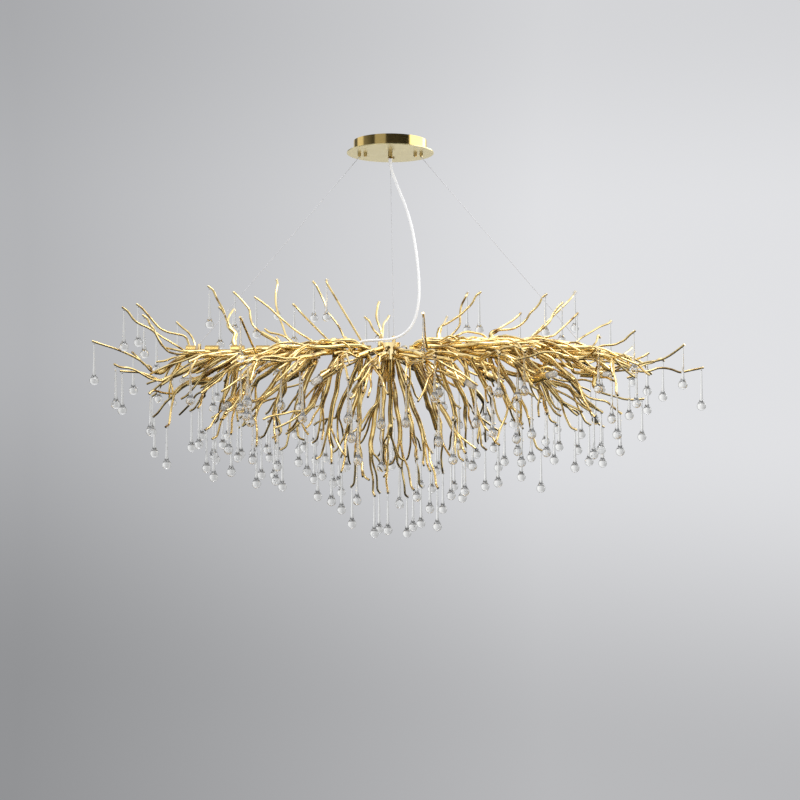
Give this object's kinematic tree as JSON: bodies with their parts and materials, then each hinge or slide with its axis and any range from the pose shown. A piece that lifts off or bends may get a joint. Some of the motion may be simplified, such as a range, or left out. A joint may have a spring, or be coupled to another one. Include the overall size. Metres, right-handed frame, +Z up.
{
  "type": "branch chandelier",
  "caption": "Oblong branch chandelier: a round canopy and wires hold a level spine with forked wavy gold twigs and long-necked glass drops.",
  "frame": {"origin": "on the ceiling, in the middle of the mounting bracket's top face", "axes": "+Z up into the ceiling, +X along the spray to the right as pictured, +Y to the back"},
  "size_m": [1.369, 0.4719, 0.8974],
  "materials": {
    "spun_gold": "brushed",
    "gold_rod": "polished",
    "gold_fitting": "polished",
    "steel": "bright",
    "white_plastic": "smooth",
    "ceramic": "smooth",
    "frosted_glass": "frosted",
    "clear_glass": "clear"
  },
  "bodies": {
    "canopy": {"mounting_bracket": "steel", "terminal_block": "white_plastic", "canopy_cup": "spun_gold", "canopy_plate": "spun_gold", "cord_gland_body": "gold_fitting", "cord_gland_nut": "gold_fitting", "bracket_studs": "steel", "canopy_cap_nuts": "gold_fitting", "gripper_bodies": "gold_fitting", "gripper_nuts": "steel"},
    "pendant": {"hub_lid": "gold_fitting", "hub_terminal_block": "white_plastic", "spine_tubes": "gold_rod", "suspension_wire_left": "steel", "suspension_wire_centre": "steel", "suspension_wire_right": "steel", "wire_anchors": "gold_fitting", "centre_wire_post": "gold_fitting", "cord_bush": "gold_fitting", "power_cord": "white_plastic", "limbs_left": "gold_rod", "limbs_right": "gold_rod", "lamp_arms": "gold_rod", "socket_collars": "gold_rod", "spine_end_caps": "gold_rod", "hub_body": "gold_fitting", "lamp_cups": "gold_rod", "lamp_inserts": "ceramic", "bulbs": "frosted_glass", "twigs_zone_1": "gold_rod", "twigs_zone_2": "gold_rod", "twigs_zone_3": "gold_rod", "twigs_zone_4": "gold_rod", "twigs_zone_5": "gold_rod", "twigs_zone_6": "gold_rod", "twigs_zone_7": "gold_rod", "twigs_zone_8": "gold_rod", "twigs_zone_9": "gold_rod", "drops_zone_1": "clear_glass", "drops_zone_2": "clear_glass", "drops_zone_3": "clear_glass", "drops_zone_4": "clear_glass", "drops_zone_5": "clear_glass"},
    "plunger_left": {"gripper_plunger_left": "gold_fitting"},
    "plunger_centre": {"gripper_plunger_centre": "gold_fitting"},
    "plunger_right": {"gripper_plunger_right": "gold_fitting"},
    "drop_1": {"swing_drop_1": "clear_glass"},
    "drop_2": {"swing_drop_2": "clear_glass"},
    "drop_3": {"swing_drop_3": "clear_glass"},
    "drop_4": {"swing_drop_4": "clear_glass"},
    "drop_5": {"swing_drop_5": "clear_glass"},
    "drop_6": {"swing_drop_6": "clear_glass"},
    "drop_7": {"swing_drop_7": "clear_glass"},
    "drop_8": {"swing_drop_8": "clear_glass"},
    "drop_9": {"swing_drop_9": "clear_glass"},
    "drop_10": {"swing_drop_10": "clear_glass"},
    "drop_11": {"swing_drop_11": "clear_glass"},
    "drop_12": {"swing_drop_12": "clear_glass"},
    "drop_13": {"swing_drop_13": "clear_glass"},
    "drop_14": {"swing_drop_14": "clear_glass"}
  },
  "joints": [
    {"name": "pendant_swing", "type": "hinge", "parent": "canopy", "child": "pendant", "pos_m": [0, 0, -0.035], "axis": [1, 0, 0], "range_deg": [-10, 10], "deforming": ["power_cord"]},
    {"name": "plunger_left_press", "type": "slide", "parent": "canopy", "child": "plunger_left", "axis": [0, 0, 1], "range_m": [0, 0.002], "stiffness_N_per_m": 400, "springref_m": -0.002},
    {"name": "plunger_centre_press", "type": "slide", "parent": "canopy", "child": "plunger_centre", "axis": [0, 0, 1], "range_m": [0, 0.002], "stiffness_N_per_m": 400, "springref_m": -0.002},
    {"name": "plunger_right_press", "type": "slide", "parent": "canopy", "child": "plunger_right", "axis": [0, 0, 1], "range_m": [0, 0.002], "stiffness_N_per_m": 400, "springref_m": -0.002},
    {"name": "drop_1_swing", "type": "hinge", "parent": "pendant", "child": "drop_1", "pos_m": [-0.65014, -0.05832, -0.45307], "axis": [-0.8763, -0.3365, 0.3449], "range_deg": [-15, 15]},
    {"name": "drop_2_swing", "type": "hinge", "parent": "pendant", "child": "drop_2", "pos_m": [-0.53379, -0.02088, -0.56265], "axis": [-0.8311, 0.175, -0.5279], "range_deg": [-15, 15]},
    {"name": "drop_3_swing", "type": "hinge", "parent": "pendant", "child": "drop_3", "pos_m": [-0.49325, -0.04568, -0.63874], "axis": [-0.3765, -0.8639, -0.3346], "range_deg": [-15, 15]},
    {"name": "drop_4_swing", "type": "hinge", "parent": "pendant", "child": "drop_4", "pos_m": [-0.38783, -0.05648, -0.66498], "axis": [-0.6373, -0.7048, -0.3116], "range_deg": [-15, 15]},
    {"name": "drop_5_swing", "type": "hinge", "parent": "pendant", "child": "drop_5", "pos_m": [-0.24254, -0.00009, -0.69094], "axis": [-0.8859, 0.0183, -0.4635], "range_deg": [-15, 15]},
    {"name": "drop_6_swing", "type": "hinge", "parent": "pendant", "child": "drop_6", "pos_m": [-0.10683, -0.0555, -0.73703], "axis": [-0.185, -0.9007, -0.393], "range_deg": [-15, 15]},
    {"name": "drop_7_swing", "type": "hinge", "parent": "pendant", "child": "drop_7", "pos_m": [-0.03535, -0.02564, -0.79232], "axis": [0.322, -0.8724, -0.3678], "range_deg": [-15, 15]},
    {"name": "drop_8_swing", "type": "hinge", "parent": "pendant", "child": "drop_8", "pos_m": [0.10268, -0.09549, -0.76936], "axis": [0.2518, -0.9019, -0.3509], "range_deg": [-15, 15]},
    {"name": "drop_9_swing", "type": "hinge", "parent": "pendant", "child": "drop_9", "pos_m": [0.16079, -0.01762, -0.71462], "axis": [0.7473, -0.4762, -0.4634], "range_deg": [-15, 15]},
    {"name": "drop_10_swing", "type": "hinge", "parent": "pendant", "child": "drop_10", "pos_m": [0.33735, -0.00965, -0.69307], "axis": [0.9143, -0.0697, -0.3991], "range_deg": [-15, 15]},
    {"name": "drop_11_swing", "type": "hinge", "parent": "pendant", "child": "drop_11", "pos_m": [0.49047, 0.07705, -0.64186], "axis": [0.7454, 0.5892, -0.3119], "range_deg": [-15, 15]},
    {"name": "drop_12_swing", "type": "hinge", "parent": "pendant", "child": "drop_12", "pos_m": [0.56933, 0.01951, -0.57901], "axis": [0.9923, 0.0991, 0.0748], "range_deg": [-15, 15]},
    {"name": "drop_13_swing", "type": "hinge", "parent": "pendant", "child": "drop_13", "pos_m": [0.69894, -0.00016, -0.50916], "axis": [0.9765, 0.0317, 0.2133], "range_deg": [-15, 15]},
    {"name": "drop_14_swing", "type": "hinge", "parent": "pendant", "child": "drop_14", "pos_m": [0.6367, -0.08484, -0.4632], "axis": [0.6221, -0.5329, 0.5736], "range_deg": [-15, 15]}
  ]
}
